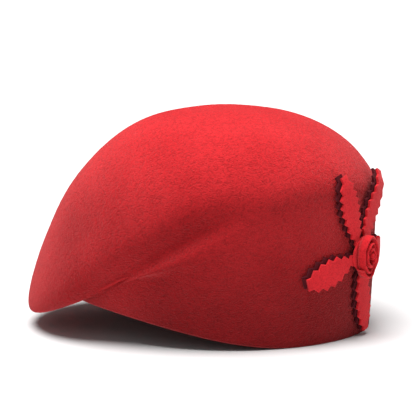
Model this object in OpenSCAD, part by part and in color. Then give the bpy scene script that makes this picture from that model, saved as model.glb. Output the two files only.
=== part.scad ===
// Blocked felt beret: a one-piece felt shell whose tilted crown folds under into a peak,
// with a ribbon sweatband inside the rim and a pinked felt flower sewn to the back side.
// X runs from the flower end (+) to the peak (-), Z is up, and the rim rests on Z = 0.

/* [Head opening] */
// Length of the head opening, peak side to flower side
opening_l = 200; // [165:1:245]
// Width of the head opening
opening_w = 160; // [130:1:200]
// How far the rim lifts off the table under the peak
rim_lift = 24; // [14:0.5:30]
// Share of the length over which the rim lifts
rim_lift_share = 0.76; // [0.4:0.01:0.9]

/* [Crown] */
// Height of the crown above the table
crown_h = 145; // [118:1:180]
// Width of the crown across its fold
crown_w = 185; // [165:1:225]
// How far the peak reaches past the opening
peak_reach = 30; // [20:1:40]
// Thickness of the felt
felt_t = 2.6; // [1.6:0.1:3.2]

/* [Sweatband] */
// Width of the ribbon
band_w = 15; // [10:0.5:18]
// Thickness of the ribbon
band_t = 0.9; // [0.5:0.1:1.4]
// Distance of the ribbon from the cut rim
band_inset = 1.6; // [1:0.1:4]
// Length of the flat bow at the back of the ribbon
bow_l = 30; // [20:1:40]
// Width of the bow's tape
bow_w = 8; // [5:0.5:10]
// Number of stitches that hold the ribbon
stitch_count = 48; // [24:1:60]
// Length of one stitch
stitch_l = 4; // [2:0.25:5]
// Thickness of the thread
thread_d = 0.6; // [0.4:0.1:0.8]

/* [Flower] */
// Where the flower sits round the hat, in degrees from +X
flower_at = -32; // [-60:1:0]
// Height of the flower's middle above the table
flower_z = 56; // [54:1:62]
// Length of a petal from the flower's middle
petal_l = 54; // [44:1:54]
// Greatest width of a petal
petal_w = 20; // [14:0.5:23]
// Thickness of one petal ply
ply_t = 1.6; // [1:0.1:2.4]
// How far the dark under petals are shifted out from under the upper ones
under_shift = 2.6; // [0:0.2:3.2]
// Turn of the whole flower
petal_turn = 0; // [-20:1:20]
// Distance between pinked teeth
tooth_pitch = 6; // [4:0.5:9]
// Depth of the pinked teeth
tooth_depth = 2.6; // [1:0.1:3.5]
// Diameter of the disc that covers the petal roots
disc_d = 20; // [16:1:26]
// Thickness of the disc
disc_t = 1; // [0.6:0.1:2]
// Diameter of the rolled rosette, up the wall
rosette_d = 31; // [24:1:34]
// Width of the rosette round the hat, as a share of its diameter
rosette_squash = 0.64; // [0.62:0.01:1]
// How far the rosette's outer turn stands off the disc
rosette_h = 6.8; // [2:0.2:8]
// Thickness of the rolled strip
strip_t = 1.9; // [1:0.1:2.1]
// Diameter of the backing disc inside the crown
backing_d = 32; // [24:1:40]
// Thickness of the backing disc
backing_t = 1.2; // [0.8:0.1:2]

/* [Hidden] */
$fn = 48;

around = 72;        // segments round the hat
rows_per_ring = 3;  // rows of facets between two rings of the shell
skin_gap = 0.15;    // clearance between the flower's sewn layers
band_gap = 0.4;     // clearance between the ribbon and the felt's facets
thread_gap = 0.3;   // clearance under a stitch
grow_from = 0.03;   // the crease between band and crown opens here, as a share of the length
grow_to = 0.23;     // and is full here
fade_from = 0.44;   // it starts to fade here
fade_to = 0.68;     // and is gone here
lip = 0.3;          // the backing disc's clearance from the felt's facets
felt_red = [0.78, 0.11, 0.15];
petal_red = [0.80, 0.16, 0.19];
under_dark = [0.20, 0.05, 0.07];
ribbon_red = [0.50, 0.06, 0.09];
thread_red = [0.42, 0.05, 0.07];

half_l = opening_l / 2;
half_w = opening_w / 2;
fold_w = crown_w / 2;
tip = half_l + peak_reach;
back = half_l + 4;
z_unit = crown_h / 145;   // heights below are for a crown 145 high

// One ring: [reach to the peak, reach to the back, half width, inset at the crease,
//            four control heights from peak to back]
shoulder = [tip, back, fold_w, 0, 14, 74, 129, 98];
function dome_ring(plan, rise) = [
  shoulder[0] * plan, shoulder[1] * plan, shoulder[2] * plan, 0,
  for (k = [4:7]) shoulder[k] + (145 - shoulder[k]) * rise];
RINGS = [
  [half_l, half_l, half_w, 0, 0, 0, 0, 0],
  [half_l + 1, half_l + 1.5, half_w + 3, 0, 28, 24, 20, 20.5],
  [half_l + 1, half_l + 2.5, half_w + 8, 0, 37, 42, 48, 45],
  [half_l - 1, half_l + 3, half_w + 9, -0.5, 46, 44, 72, 67],
  [half_l + 11, half_l + 3.5, fold_w - 2.5, -3, 22.5, 37, 124, 80],
  [tip - 6.5, half_l + 3.5, fold_w, 12, 6, 46, 124, 90],
  shoulder,
  dome_ring(0.90, 0.327),
  dome_ring(0.754, 0.648),
  dome_ring(0.42, 0.972),
  [0, 0, 0, 0, 145, 145, 145, 145]];
TOP = len(RINGS) - 1;

function clamp01(t) = min(1, max(0, t));
function smooth(t) = let (c = clamp01(t)) c * c * (3 - 2 * c);
function unit(p) = p / norm(p);

// Control point of ring k at angle a round the hat
function ring_height(r, s) =
  z_unit * (r[4] * pow(1 - s, 3) + 3 * r[5] * s * pow(1 - s, 2)
            + 3 * r[6] * s * s * (1 - s) + r[7] * pow(s, 3));
function rim_height(s) = rim_lift * smooth(1 - s / rim_lift_share);
function ring_point(k, a) =
  let (r = RINGS[k], s = (1 + cos(a)) / 2,
       inset = r[3] * smooth((s - grow_from) / (grow_to - grow_from))
               * (1 - smooth((s - fade_from) / (fade_to - fade_from))))
  [(r[1] - r[0]) / 2 + (r[1] + r[0]) / 2 * cos(a),
   (r[2] - inset) * sin(a),
   k == 0 ? rim_height(s) : ring_height(r, s)];

// The same point, moved into the hat by depth along the wall's own normal
function inner_point(k, a, depth) =
  let (h = ring_point(min(k, TOP - 1), a + 1) - ring_point(min(k, TOP - 1), a - 1),
       low = ring_point(max(k - 1, 0), a), high = ring_point(min(k + 1, TOP), a),
       n = k == 0 ? [h[1], -h[0], 0] : k == TOP ? [0, 0, 1] : cross(h, high - low))
  ring_point(k, a) - depth * unit(n);

// Uniform cubic spline up the wall: v = 0 at the rim, v = TOP at the crown's tip
function control(k, a, depth) =
  k < 0 ? 2 * inner_point(0, a, depth) - inner_point(1, a, depth)
  : k > TOP ? inner_point(TOP - 1, a + 180, depth)
  : inner_point(k, a, depth);
function skin(v, a, depth = 0) =
  let (k = min(floor(v), TOP - 1), u = v - k)
  (pow(1 - u, 3) * control(k - 1, a, depth)
   + (3 * pow(u, 3) - 6 * u * u + 4) * control(k, a, depth)
   + (-3 * pow(u, 3) + 3 * u * u + 3 * u + 1) * control(k + 1, a, depth)
   + pow(u, 3) * control(k + 2, a, depth)) / 6;
function skin_normal(v, a, depth = 0) =
  unit(cross(skin(v, a + 0.5, depth) - skin(v, a - 0.5, depth),
             skin(v + 0.02, a, depth) - skin(v - 0.02, a, depth)));

// Where the wall reaches height z, found between two values of v
function v_at(z, a, depth = 0, low = 0, high = 4, tries = 14) =
  let (mid = (low + high) / 2)
  tries == 0 ? mid
  : skin(mid, a, depth)[2] < z ? v_at(z, a, depth, mid, high, tries - 1)
  : v_at(z, a, depth, low, mid, tries - 1);

// A closed grid of points: rows[i][j], wrapped in j, with the last row joined to the first
module torus_grid(rows) {
  n = len(rows[0]);
  m = len(rows);
  polyhedron(
    points = [for (r = rows) each r],
    faces = [for (i = [0:m - 1], j = [0:n - 1])
      let (p = i * n + j, q = i * n + (j + 1) % n,
           r = ((i + 1) % m) * n + j, s = ((i + 1) % m) * n + (j + 1) % n)
      each [[p, r, q], [q, r, s]]],
    convexity = 8);
}

module felt_body() {
  vs = [for (i = [0:TOP * rows_per_ring - 1]) i / rows_per_ring];
  n = around;
  m = len(vs);
  outer = [for (v = vs, j = [0:n - 1]) skin(v, 360 * j / n)];
  inner = [for (v = vs, j = [0:n - 1]) skin(v, 360 * j / n, felt_t)];
  top_out = 2 * n * m;
  top_in = top_out + 1;
  function wall(base, i, j, flip) =
    let (p = base + i * n + j, q = base + i * n + (j + 1) % n, r = p + n, s = q + n)
    flip ? [[p, r, q], [q, r, s]] : [[p, q, r], [q, s, r]];
  color(felt_red) polyhedron(
    points = concat(outer, inner, [skin(TOP, 0), skin(TOP, 0, felt_t)]),
    faces = concat(
      [for (i = [0:m - 2], j = [0:n - 1]) each wall(0, i, j, true)],
      [for (i = [0:m - 2], j = [0:n - 1]) each wall(n * m, i, j, false)],
      [for (j = [0:n - 1])
        let (p = (m - 1) * n + j, q = (m - 1) * n + (j + 1) % n)
        each [[p, top_out, q], [n * m + p, n * m + q, top_in]]],
      [for (j = [0:n - 1])
        let (p = j, q = (j + 1) % n)
        each [[p, q, n * m + p], [q, n * m + q, n * m + p]]]),
    convexity = 10);
}

// ---- Sweatband ----
band_out = felt_t + band_gap;
band_in = band_out + band_t;
function band_low(a) = rim_height((1 + cos(a)) / 2) + band_inset;

module sweatband() {
  function side(depth, z, a) = skin(v_at(z, a, depth), a, depth);
  angles = [for (j = [0:around - 1]) 360 * j / around];
  heights = [0, 0.5, 1];
  color(ribbon_red) torus_grid(concat(
    [for (h = heights) [for (a = angles) side(band_out, band_low(a) + h * band_w, a)]],
    [for (h = [1, 0.5, 0]) [for (a = angles) side(band_in, band_low(a) + h * band_w, a)]]));
}

// A round bar of thread between two points
module thread(p, q, d = thread_d) {
  along = q - p;
  translate(p)
    rotate([0, acos(along[2] / norm(along)), atan2(along[1], along[0])])
      cylinder(d = d, h = norm(along), $fn = 16);
}

stitch_up = 1.8;   // from the ribbon's lower edge to the stitches
module sweatband_stitches() color(thread_red)
  for (i = [0:stitch_count - 1]) {
    a = 360 * (i + 0.5) / stitch_count;
    reach = stitch_l / 2 / half_l * 180 / PI;
    depth = band_in + thread_d / 2 + thread_gap;
    z = band_inset + stitch_up;
    p = skin(v_at(rim_height((1 + cos(a - reach)) / 2) + z, a - reach, depth), a - reach, depth);
    q = skin(v_at(rim_height((1 + cos(a + reach)) / 2) + z, a + reach, depth), a + reach, depth);
    thread(p, q);
  }

// ---- The flat bow over the ribbon's join, at the back ----
loop_t = 2.2;
knot_proud = 0.8;    // the knot stands this far over the loops
bow_gap = 0.8;
bow_drop = 3.2;      // from the ribbon's lower edge to the bow
knot_l = 6;
knot_tuck = 0.2;     // the knot's wrap passes this far behind the loops
loop_end = 0.6;      // rounding of a loop's end, as a share of the tape's width
bow_z = band_inset + bow_drop + bow_w / 2;
bow_face = skin(v_at(bow_z, 0, band_in), 0, band_in);

module bow_frame() translate([bow_face[0] - bow_gap - bow_l * bow_l / 8 / half_w, 0, bow_z])
  rotate([90, 0, -90]) children();

module bow_loop() linear_extrude(loop_t) hull() {
  translate([knot_l / 2 + 1, 0]) square([0.8, bow_w * 0.5], center = true);
  for (side = [-1, 1])
    translate([(bow_l - bow_w * loop_end) / 2, side * bow_w * (1 - loop_end) / 2])
      circle(d = bow_w * loop_end);
}
module bow_loop_right() color(ribbon_red) bow_frame() bow_loop();
module bow_loop_left() color(ribbon_red) bow_frame() mirror([1, 0, 0]) bow_loop();
module bow_knot() color(ribbon_red) bow_frame() translate([0, 0, -knot_tuck])
  linear_extrude(loop_t + knot_proud)
    offset(1) square([knot_l - 2, bow_w * 0.8 - 2], center = true);

// ---- Flower ----
// A path over the felt from the flower's middle: each step moves by step in direction turn,
// measured in the wall's own plane, and the result is a list of [v, a] pairs.
flower_v = v_at(flower_z * z_unit, flower_at);
function step_on(va, turn, step) =
  let (v = va[0], a = va[1],
       e = (skin(v, a + 0.5) - skin(v, a - 0.5)),
       g = (skin(v + 0.02, a) - skin(v - 0.02, a)) / 0.04,
       h = unit(e), n = unit(cross(h, g)), up = cross(n, h),
       d = step * (h * cos(turn) + up * sin(turn)),
       ee = e * e, eg = e * g, gg = g * g, det = ee * gg - eg * eg)
  [v + ((d * g) * ee - (d * e) * eg) / det, a + ((d * e) * gg - (d * g) * eg) / det];
function path_on(turn, step, count, from = [flower_v, flower_at]) =
  count == 0 ? [from] : concat([from], path_on(turn, step, count - 1, step_on(from, turn, step)));

// A frame on the path at distance r: [point, outward normal, direction, across]
path_step = 2;
function frame_on(path, r) =
  let (f = r / path_step, i = min(floor(f), len(path) - 2), u = f - i,
       va = path[i] * (1 - u) + path[i + 1] * u,
       p = skin(va[0], va[1]), n = skin_normal(va[0], va[1]),
       q = path[i + 1], o = path[i],
       d = unit(skin(q[0], q[1]) - skin(o[0], o[1])))
  [p, n, d, cross(n, d)];

// Each petal: [direction round the flower, how far its tip curls off the wall,
//              length and width as shares of petal_l and petal_w]
PETALS = [[285, 0.8, 1.01, 1], [357, 0, 0.85, 0.95], [66, 3.2, 1.05, 1], [114, 1.2, 1.02, 0.95],
          [197, 0.8, 0.88, 1.05]];
petal_count = len(PETALS);
wedge = 23.8;       // half the angle between the two closest petals
petal_gap = 0.5;
root_r = 1.6;
under_toward = 150; // direction of the under layer's shift
curl_from = 0.4;   // the curl starts here, as a share of the petal's length
function leaf(r, long, wide) =
  let (t = r / long, taper = pow(max(0, t - 0.35) / 0.65, 2.6))
  wide / 2 * min(1, 1.25 * pow(t, 0.45)) * sqrt(clamp01(1 - taper));
function petal_half(r, long, wide) =
  min(leaf(r, long, wide), r * tan(wedge) - petal_gap / 2 / cos(wedge));

// Stations along a petal: [distance from the middle, half width]; teeth alternate in and out
function stations(long, wide) =
  let (root = disc_d / 2, teeth = round((long - root) / tooth_pitch),
       pitch = (long - root) / teeth)
  concat(
    [for (r = [root_r:2:root]) [r, petal_half(r, long, wide)]],
    [for (i = [0:teeth - 1]) each
      let (r = root + (i + 0.15) * pitch)
      [[r + 0.15 * pitch, max(1.2, petal_half(r, long, wide) - tooth_depth)],
       [r + 0.70 * pitch, petal_half(min(long - 1, r + 0.55 * pitch), long, wide)]]]);

module petal_ply(i, low, high, from = [flower_v, flower_at]) {
  petal = PETALS[i - 1];
  long = petal_l * petal[2];
  rows = stations(long, petal_w * petal[3]);
  path = path_on(petal_turn + petal[0], path_step, ceil(long / path_step) + 1, from);
  frames = [for (s = rows) frame_on(path, s[0])];
  m = len(frames);
  function curl(r) = petal[1] * pow(max(0, r / long - curl_from) / (1 - curl_from), 1.5);
  function corner(k, side, h) =
    frames[k][0] + frames[k][1] * (h + curl(rows[k][0])) + frames[k][3] * side * rows[k][1];
  points = [for (k = [0:m - 1]) each
    [corner(k, 1, low), corner(k, -1, low), corner(k, -1, high), corner(k, 1, high)]];
  polyhedron(points = points,
    faces = concat(
      [[0, 2, 1], [0, 3, 2]],
      [for (k = [0:m - 2], c = [0:3])
        let (p = 4 * k + c, q = 4 * k + (c + 1) % 4, r = p + 4, s = q + 4)
        each [[p, q, r], [q, s, r]]],
      [[4 * m - 4, 4 * m - 3, 4 * m - 2], [4 * m - 4, 4 * m - 2, 4 * m - 1]]),
    convexity = 4);
}
under_low = 2 * skin_gap;
upper_low = under_low + ply_t + 2 * skin_gap;
flower_top = upper_low + ply_t + skin_gap;
under_from = step_on([flower_v, flower_at], under_toward, under_shift);
module petal_under(i) color(under_dark)
  petal_ply(i, under_low, under_low + ply_t, under_from);
module petal_upper(i) color(petal_red) petal_ply(i, upper_low, upper_low + ply_t);

// A round disc that follows the wall between two heights above the felt
module wall_disc(d, low, high, depth = 0, slices = 24) {
  rings = 3;
  frames = [for (j = [0:slices - 1])
    let (path = path_on(360 * j / slices, path_step, ceil(d / 2 / path_step) + 1))
    [for (k = [1:rings]) frame_on(path, d / 2 * k / rings)]];
  mid = frame_on(path_on(0, path_step, 1), 0);
  points = concat(
    [mid[0] + mid[1] * low, mid[0] + mid[1] * high],
    [for (k = [0:rings - 1], h = [low, high], j = [0:slices - 1])
      frames[j][k][0] + frames[j][k][1] * h]);
  function at(k, side, j) = 2 + (2 * k + side) * slices + (j % slices);
  polyhedron(points = points,
    faces = concat(
      [for (j = [0:slices - 1]) each [[0, at(0, 0, j), at(0, 0, j + 1)],
                                       [1, at(0, 1, j + 1), at(0, 1, j)]]],
      [for (k = [0:rings - 2], j = [0:slices - 1]) each
        [[at(k, 0, j), at(k + 1, 0, j), at(k, 0, j + 1)],
         [at(k, 0, j + 1), at(k + 1, 0, j), at(k + 1, 0, j + 1)],
         [at(k, 1, j), at(k, 1, j + 1), at(k + 1, 1, j)],
         [at(k, 1, j + 1), at(k + 1, 1, j + 1), at(k + 1, 1, j)]]],
      [for (j = [0:slices - 1]) each
        [[at(rings - 1, 0, j), at(rings - 1, 1, j), at(rings - 1, 0, j + 1)],
         [at(rings - 1, 0, j + 1), at(rings - 1, 1, j), at(rings - 1, 1, j + 1)]]]),
    convexity = 4);
}
module flower_disc() color(petal_red) wall_disc(disc_d, flower_top, flower_top + disc_t);
backing_low = felt_t + skin_gap + lip;
module flower_backing() color(ribbon_red)
  wall_disc(backing_d, -backing_low - backing_t, -backing_low);

// The rosette's own frame: Z out of the hat, X round it, Y up it
rosette_base = flower_top + disc_t + skin_gap;
flower_mid = skin(flower_v, flower_at);
flower_out = skin_normal(flower_v, flower_at);
module flower_frame() translate(flower_mid + flower_out * rosette_base)
  rotate([0, 0, atan2(flower_out[1], flower_out[0])])
    rotate([0, acos(flower_out[2]), 0]) rotate([0, 0, 90]) children();

// A strip stood on edge and rolled into a spiral, from one angle and radius to another
module roll(r_from, r_to, turns, start, h) {
  steps = ceil(turns * 28);
  function at(i, off) =
    let (t = i / steps, r = r_from + (r_to - r_from) * t + off, b = start + 360 * turns * t)
    [r * rosette_squash * cos(b), r * sin(b)];
  linear_extrude(h) polygon(concat(
    [for (i = [0:steps]) at(i, strip_t / 2)],
    [for (i = [steps:-1:0]) at(i, -strip_t / 2)]));
}
roll_gap = 0.6;                       // room between two turns of the roll
roll_pitch = strip_t / rosette_squash + roll_gap;
outer_r = rosette_d / 2 - strip_t / 2;
split_r = outer_r - 1.6 * roll_pitch;
bud_r = 1.2 * strip_t;
inner_rise = 1;                       // the inner turns stand higher, so the rosette is domed
bud_rise = 1.6;
module rosette_outer() color(petal_red) flower_frame()
  roll(outer_r, split_r + roll_pitch * 0.05, 1.55, 215, rosette_h);
module rosette_inner() color(petal_red) flower_frame()
  roll(split_r - roll_pitch * 0.1, bud_r + strip_t, 1.2, 80, rosette_h + inner_rise);
module rosette_bud() color(petal_red) flower_frame() scale([rosette_squash, 1, 1])
  rotate_extrude($fn = 32)
    polygon([[0, 0], [bud_r, 0], [bud_r, rosette_h + bud_rise / 2],
             [bud_r / 2, rosette_h + bud_rise], [0, rosette_h + bud_rise]]);

// The thread star that holds the flower, on the backing disc inside the crown
star_count = 5;
module flower_stitches() color(thread_red)
  for (i = [0:star_count - 1]) {
    turn = petal_turn + 180 + (i + 0.5) * 360 / star_count;
    path = path_on(turn, path_step, ceil(backing_d / 2 / path_step) + 1);
    depth = backing_low + backing_t + thread_d / 2 + thread_gap;
    f = frame_on(path, backing_d * 0.12);
    g = frame_on(path, backing_d * 0.32);
    thread(f[0] - f[1] * depth, g[0] - g[1] * depth);
  }

felt_body();
sweatband();
sweatband_stitches();
bow_loop_left();
bow_loop_right();
bow_knot();
for (i = [1:petal_count]) {
  petal_under(i);
  petal_upper(i);
}
flower_disc();
rosette_outer();
rosette_inner();
rosette_bud();
flower_backing();
flower_stitches();
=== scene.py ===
# %% [markdown]
# # A felt beret with a pinked felt flower
# The hat is a shell of stiffened wool felt pressed over a block: the crown tilts down to
# the left, folds under into a peak, and a leaf-petalled flower is sewn to the right side.
# The CAD frame already gives every piece its place, so the first cell loads it, sets every
# part in world space and can give any part's box. Each later cell makes one real piece and hides the
# CAD node it stands for.

# %% Load the fixed frame
import math

import bpy
import numpy as np
from mathutils import Matrix, Vector, noise


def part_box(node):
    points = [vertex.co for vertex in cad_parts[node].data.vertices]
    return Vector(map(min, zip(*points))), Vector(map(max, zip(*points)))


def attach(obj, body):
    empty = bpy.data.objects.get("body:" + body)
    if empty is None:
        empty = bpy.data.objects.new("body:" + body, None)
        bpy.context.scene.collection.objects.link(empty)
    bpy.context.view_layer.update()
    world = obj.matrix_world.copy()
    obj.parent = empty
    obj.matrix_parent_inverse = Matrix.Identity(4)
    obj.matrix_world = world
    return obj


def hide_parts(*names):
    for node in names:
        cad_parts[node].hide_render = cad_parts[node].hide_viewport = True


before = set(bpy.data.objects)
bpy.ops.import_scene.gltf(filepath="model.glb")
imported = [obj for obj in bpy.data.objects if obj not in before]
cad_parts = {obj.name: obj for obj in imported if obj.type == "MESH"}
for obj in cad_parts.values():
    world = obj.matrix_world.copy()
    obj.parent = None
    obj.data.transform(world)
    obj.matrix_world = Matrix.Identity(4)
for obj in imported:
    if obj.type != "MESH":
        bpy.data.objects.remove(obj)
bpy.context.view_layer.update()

# %% [markdown]
# ## Floor, daylight and camera
# The hat stands on a pale sheet of card that runs well past the view. Felt has almost no
# gloss, so its form reads from soft light alone: one wide, distant lamp almost overhead makes
# the top of the crown the brightest place, a weak one from the front opens the shadows, and a
# dim white sky does the rest. A nearby area lamp would also work, but it lights the floor
# unevenly. The camera is a long lens ten degrees above level, because a long lens keeps the
# oval of the crown undistorted.

# %% Floor
FLOOR_WIDE = 14                      # metres
CARD_TONES = (0.70, 0.73)            # the card's own slight mottling


def plain_floor():
    bpy.ops.mesh.primitive_grid_add(x_subdivisions=8, y_subdivisions=8, size=FLOOR_WIDE)
    floor = bpy.context.object
    floor.name = "card_floor"
    card = bpy.data.materials.new("matte_card")
    card.use_nodes = True
    nodes, links = card.node_tree.nodes, card.node_tree.links
    shader = nodes["Principled BSDF"]
    shader.inputs["Roughness"].default_value = 0.95
    shader.inputs["Specular IOR Level"].default_value = 0.1
    grain = nodes.new("ShaderNodeTexNoise")
    grain.inputs["Scale"].default_value = 40
    tone = nodes.new("ShaderNodeValToRGB")
    for element, grey in zip(tone.color_ramp.elements, CARD_TONES):
        element.color = (grey, grey, grey, 1)
    links.new(grain.outputs["Fac"], tone.inputs["Fac"])
    links.new(tone.outputs["Color"], shader.inputs["Base Color"])
    floor.data.materials.append(card)
    return floor


floor = plain_floor()
print("floor", tuple(round(x, 1) for x in floor.dimensions))

# %% Light
SKY_STRENGTH = 0.17
sky = bpy.data.worlds.new("soft_sky")
sky.use_nodes = True
sky.node_tree.nodes["Background"].inputs["Color"].default_value = (1, 1, 1, 1)
sky.node_tree.nodes["Background"].inputs["Strength"].default_value = SKY_STRENGTH
bpy.context.scene.world = sky


def wide_sun(name, direction, strength, spread):
    """A distant lamp as wide as a bright overcast patch of sky, so the floor stays even."""
    data = bpy.data.lights.new(name, "SUN")
    data.energy = strength
    data.angle = math.radians(spread)
    holder = bpy.data.objects.new(name, data)
    holder.rotation_euler = Vector(direction).to_track_quat("-Z", "Y").to_euler()
    bpy.context.scene.collection.objects.link(holder)
    return holder


wide_sun("overhead", (0.10, 0.12, -1), 5.0, 42)
wide_sun("front_fill", (0.25, 1, -0.5), 0.2, 60)

# %% Camera
CAMERA_TILT = math.radians(10)
CAMERA_DISTANCE = 1.2
CAMERA_LENS, SENSOR_WIDE = 156.9, 36          # millimetres
AIM = Vector((-0.0074, 0, 0.0773))
camera = bpy.data.objects.new("camera", bpy.data.cameras.new("camera"))
camera.data.lens = CAMERA_LENS
camera.data.sensor_width = SENSOR_WIDE
back_off = Vector((0, -math.cos(CAMERA_TILT), math.sin(CAMERA_TILT)))
camera.location = AIM + back_off * CAMERA_DISTANCE
camera.rotation_euler = (-back_off).to_track_quat("-Z", "Y").to_euler()
bpy.context.scene.collection.objects.link(camera)
bpy.context.scene.camera = camera
bpy.context.scene.view_settings.view_transform = "Standard"
print("camera", tuple(round(x, 3) for x in camera.location))

# %% [markdown]
# ## The hat's own surface
# A blocked hat is easiest to think of as rings: the cut rim, a few ovals up the side, the
# fold where the crown turns under, and smaller ovals up to the top. Each ring is an oval in
# plan whose height runs smoothly from the peak to the back. Below the fold the band stands a
# little proud of the crown's foot, and the crease between them opens near the peak and closes
# toward the back, so one ring is drawn in along that stretch. A cubic spline up the rings
# gives one smooth skin. It could also be sculpted, but a skin with a formula lets every other
# piece be laid on it, so the ribbon and the flower follow the felt exactly. Lengths in these
# cells are millimetres, and a mesh is turned into metres only when it is made.

# %% Rings of the block
HALF_LONG, HALF_WIDE, FOLD_WIDE = 100, 80, 92.5
PEAK, BACK, CROWN = 130, 104, 145
RIM_LIFT, RIM_LIFT_SHARE = 24, 0.76
FELT = 2.6
GROW_FROM, GROW_TO = 0.03, 0.23   # the crease opens here, as shares of the length from the peak
FADE_FROM, FADE_TO = 0.44, 0.68   # and closes here
SHOULDER = [PEAK, BACK, FOLD_WIDE, 0, 14, 74, 129, 98]


def dome_ring(plan, rise):
    flat = [SHOULDER[0] * plan, SHOULDER[1] * plan, SHOULDER[2] * plan, 0]
    return flat + [h + (CROWN - h) * rise for h in SHOULDER[4:]]


# reach to the peak, reach to the back, half width, inset at the fold, four heights peak to back
RINGS = [
    [HALF_LONG, HALF_LONG, HALF_WIDE, 0, 0, 0, 0, 0],
    [HALF_LONG + 1, HALF_LONG + 1.5, HALF_WIDE + 3, 0, 28, 24, 20, 20.5],
    [HALF_LONG + 1, HALF_LONG + 2.5, HALF_WIDE + 8, 0, 37, 42, 48, 45],
    [HALF_LONG - 1, HALF_LONG + 3, HALF_WIDE + 9, -0.5, 46, 44, 72, 67],
    [HALF_LONG + 11, HALF_LONG + 3.5, FOLD_WIDE - 2.5, -3, 22.5, 37, 124, 80],
    [PEAK - 6.5, HALF_LONG + 3.5, FOLD_WIDE, 12, 6, 46, 124, 90],
    SHOULDER,
    dome_ring(0.90, 0.327),
    dome_ring(0.754, 0.648),
    dome_ring(0.42, 0.972),
    [0, 0, 0, 0, CROWN, CROWN, CROWN, CROWN],
]
TOP = len(RINGS) - 1


def smooth(t):
    """0 below 0, 1 above 1, and an even S between."""
    t = np.clip(t, 0, 1)
    return t * t * (3 - 2 * t)


def along(a):
    """Share of the hat's length at angle a: 0 at the peak, 1 at the back."""
    return (1 + np.cos(np.radians(a))) / 2


def rim_height(a):
    return RIM_LIFT * smooth(1 - along(a) / RIM_LIFT_SHARE)


def ring_point(k, a):
    """Point of ring k at angle a."""
    reach_peak, reach_back, half, inset, *h = RINGS[k]
    s = along(a)
    inset = inset * smooth((s - GROW_FROM) / (GROW_TO - GROW_FROM)) * (
        1 - smooth((s - FADE_FROM) / (FADE_TO - FADE_FROM)))
    z = (h[0] * (1 - s) ** 3 + 3 * h[1] * s * (1 - s) ** 2
         + 3 * h[2] * s * s * (1 - s) + h[3] * s ** 3)
    x = (reach_back - reach_peak) / 2 + (reach_back + reach_peak) / 2 * np.cos(np.radians(a))
    y = (half - inset) * np.sin(np.radians(a))
    return np.stack([x, y, rim_height(a) if k == 0 else z], axis=-1)


print("rings", len(RINGS), "rim lift", RIM_LIFT, "mm")

# %% [markdown]
# The skin is read at a height value v, which counts rings from the rim, and an angle a round
# the hat, where 0 is the back. A depth moves the reading into the felt. A solidify modifier
# could make the inside too, but reading the same rule at a depth gives the outside, the inside
# and the place where the ribbon lies.

# %% The skin
BAND_TOP_V = 4.0   # the wall rises steadily up to this height value


def unit(p):
    return p / np.linalg.norm(p, axis=-1, keepdims=True)


def sunk_point(k, a, depth):
    """The ring's point, moved into the hat by depth along the wall's own normal."""
    wall = min(k, TOP - 1)
    side = ring_point(wall, a + 1) - ring_point(wall, a - 1)
    if k == 0:
        out = np.stack([side[..., 1], -side[..., 0], 0 * side[..., 0]], axis=-1)
    elif k == TOP:
        out = np.zeros_like(side) + np.array([0, 0, 1.0])
    else:
        out = np.cross(side, ring_point(min(k + 1, TOP), a) - ring_point(max(k - 1, 0), a))
    return ring_point(k, a) - np.asarray(depth)[..., None] * unit(out)


def control(k, a, depth):
    """Ring points for the spline, carried on past the rim and past the crown's top."""
    if not np.any(depth):
        if k < 0:
            return 2 * ring_point(0, a) - ring_point(1, a)
        return ring_point(TOP - 1, a + 180) if k > TOP else ring_point(k, a)
    if k < 0:
        return 2 * sunk_point(0, a, depth) - sunk_point(1, a, depth)
    return sunk_point(TOP - 1, a + 180, depth) if k > TOP else sunk_point(k, a, depth)


def skin(v, a, depth=0.0):
    v, a, depth = np.broadcast_arrays(np.asarray(v, float), np.asarray(a, float), depth)
    k = np.clip(np.floor(v).astype(int), 0, TOP - 1)
    u = v - k
    share = [(1 - u) ** 3, 3 * u ** 3 - 6 * u * u + 4, -3 * u ** 3 + 3 * u * u + 3 * u + 1, u ** 3]
    total = np.zeros(v.shape + (3,))
    for ring in range(int(k.min()) - 1, int(k.max()) + 3):
        weight = sum(np.where(ring - k + 1 == i, share[i], 0) for i in range(4))
        total += weight[..., None] * control(ring, a, depth) / 6
    return total


def skin_out(v, a, depth=0.0):
    v = np.minimum(v, TOP - 0.03)
    return unit(np.cross(skin(v, a + 0.5, depth) - skin(v, a - 0.5, depth),
                         skin(v + 0.02, a, depth) - skin(v - 0.02, a, depth)))


def v_at(z, a, depth=0.0):
    """Where the wall below the fold reaches height z."""
    low, high = np.zeros(np.shape(a)), np.full(np.shape(a), BAND_TOP_V)
    for _ in range(18):
        mid = (low + high) / 2
        below = skin(mid, a, depth)[..., 2] < z
        low, high = np.where(below, mid, low), np.where(below, high, mid)
    return (low + high) / 2


print("top of the crown at", skin(TOP, 0.0).round(1))

# %% [markdown]
# ## Making meshes and finishes
# Four small helpers serve every piece. The first turns a list of points in millimetres into
# a Blender object, hides the CAD node it stands for and gives it its finish. The
# second joins a grid of points into faces. The third carries a number on each point, such as
# how much nap stands up there, so that a material can read it. The fourth gives smooth random
# swells, always the same ones, so that nothing handmade looks ruled.

# %% Mesh helpers
def make_piece(name, points, faces, material, stands_for, flat=False):
    mesh = bpy.data.meshes.new(name)
    mesh.from_pydata((np.asarray(points) * 0.001).tolist(), [], faces)
    mesh.validate()
    if flat:
        mesh.shade_flat()
    else:
        mesh.shade_smooth()
    piece = bpy.data.objects.new(name, mesh)
    bpy.context.scene.collection.objects.link(piece)
    mesh.materials.append(material)
    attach(piece, "root")
    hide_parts(*stands_for)
    return piece


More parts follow.
